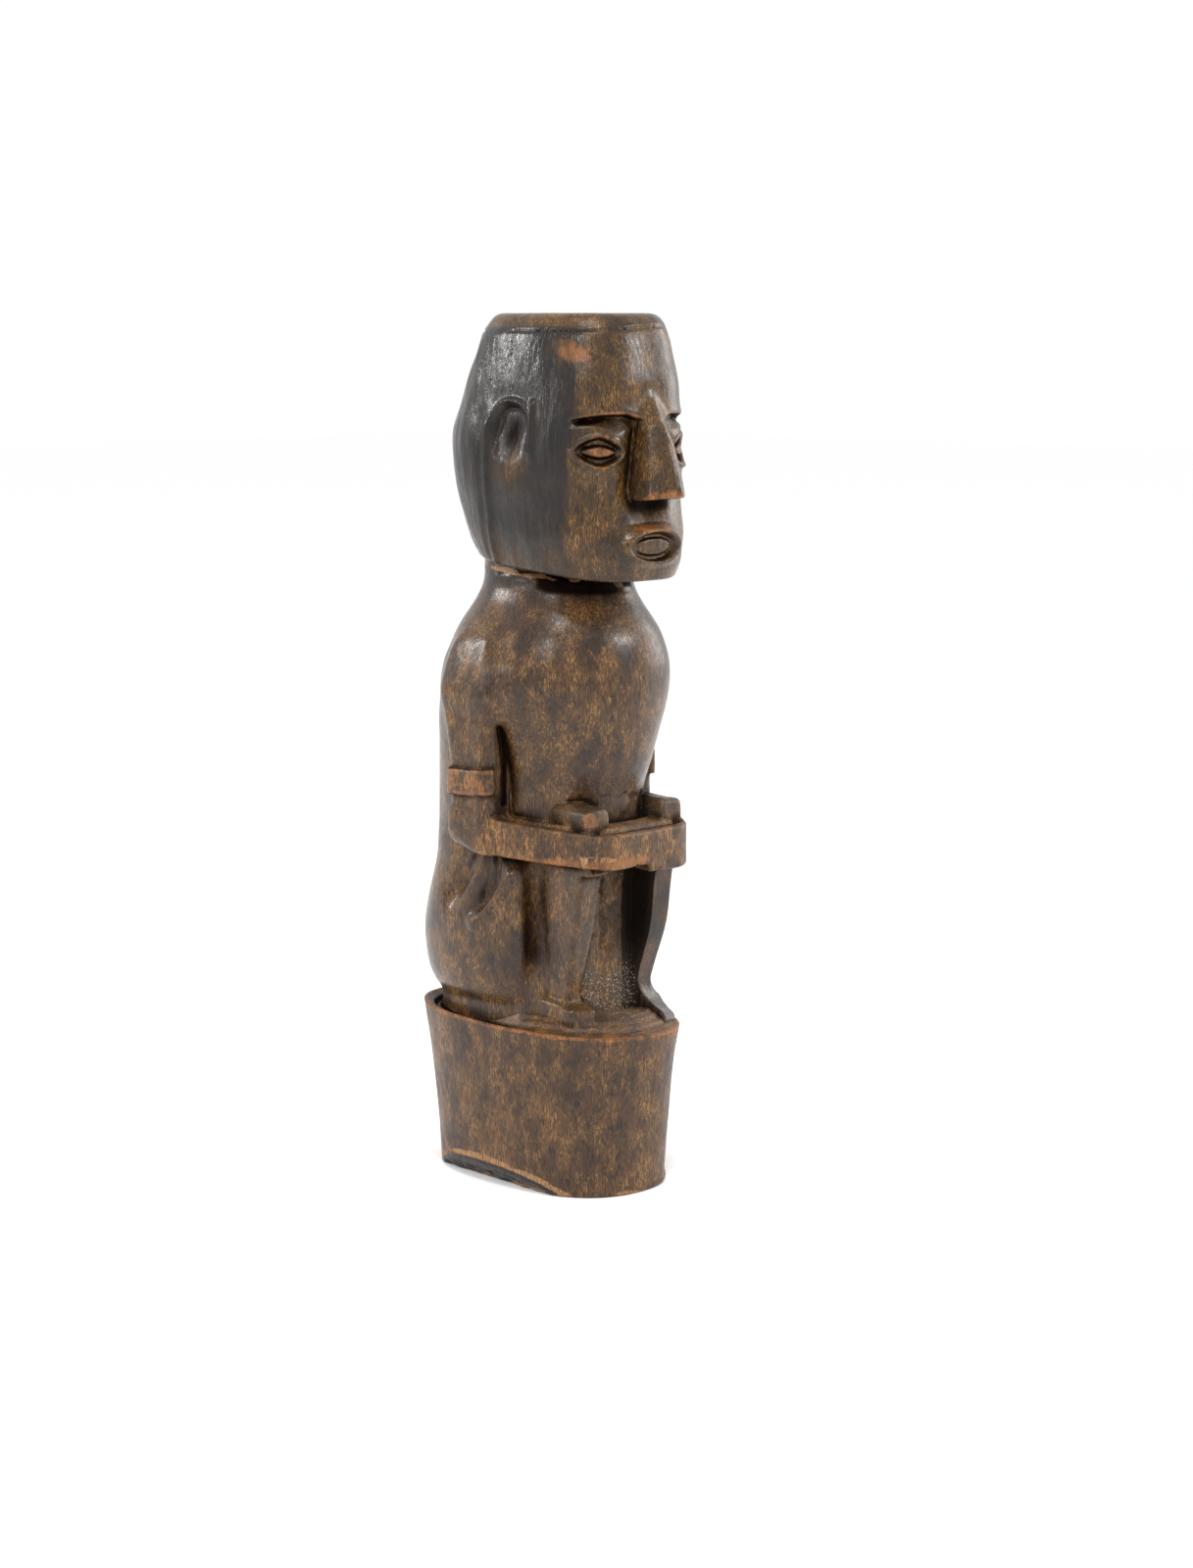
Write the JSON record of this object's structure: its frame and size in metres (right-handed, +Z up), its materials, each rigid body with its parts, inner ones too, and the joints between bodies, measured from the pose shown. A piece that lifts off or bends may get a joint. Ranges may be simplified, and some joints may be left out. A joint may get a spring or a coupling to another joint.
{
  "type": "carved wooden seated figure",
  "caption": "Seated fertility doll carved from one block of dark wood, arms clasped around drawn-up knees, flat-topped head, on an oval tapered plinth.",
  "frame": {"origin": "middle of the plinth's flat underside, on the surface it stands on", "axes": "+Z up through the head, -Y the way the figure faces, +X towards the figure's left side"},
  "size_m": [0.0442, 0.0581, 0.16],
  "materials": {
    "plinth_wood": "dark stained wood with a handled sheen",
    "body_wood": "dark stained wood, polished by handling",
    "head_wood": "dark wood with black-stained hair, satin",
    "band_wood": "dark wood worn back to orange-brown on its edges"
  },
  "bodies": {
    "root": {"plinth": "plinth_wood", "torso": "body_wood", "head": "head_wood", "right_ear": "head_wood", "left_ear": "head_wood", "right_upper_arm": "body_wood", "left_upper_arm": "body_wood", "right_armband": "band_wood", "left_armband": "band_wood", "right_elbow": "body_wood", "left_elbow": "body_wood", "right_forearm": "band_wood", "left_forearm": "band_wood", "right_thigh": "body_wood", "left_thigh": "body_wood", "right_knee": "body_wood", "left_knee": "body_wood", "right_shin": "body_wood", "left_shin": "body_wood", "right_foot": "body_wood", "left_foot": "body_wood"}
  },
  "joints": []
}
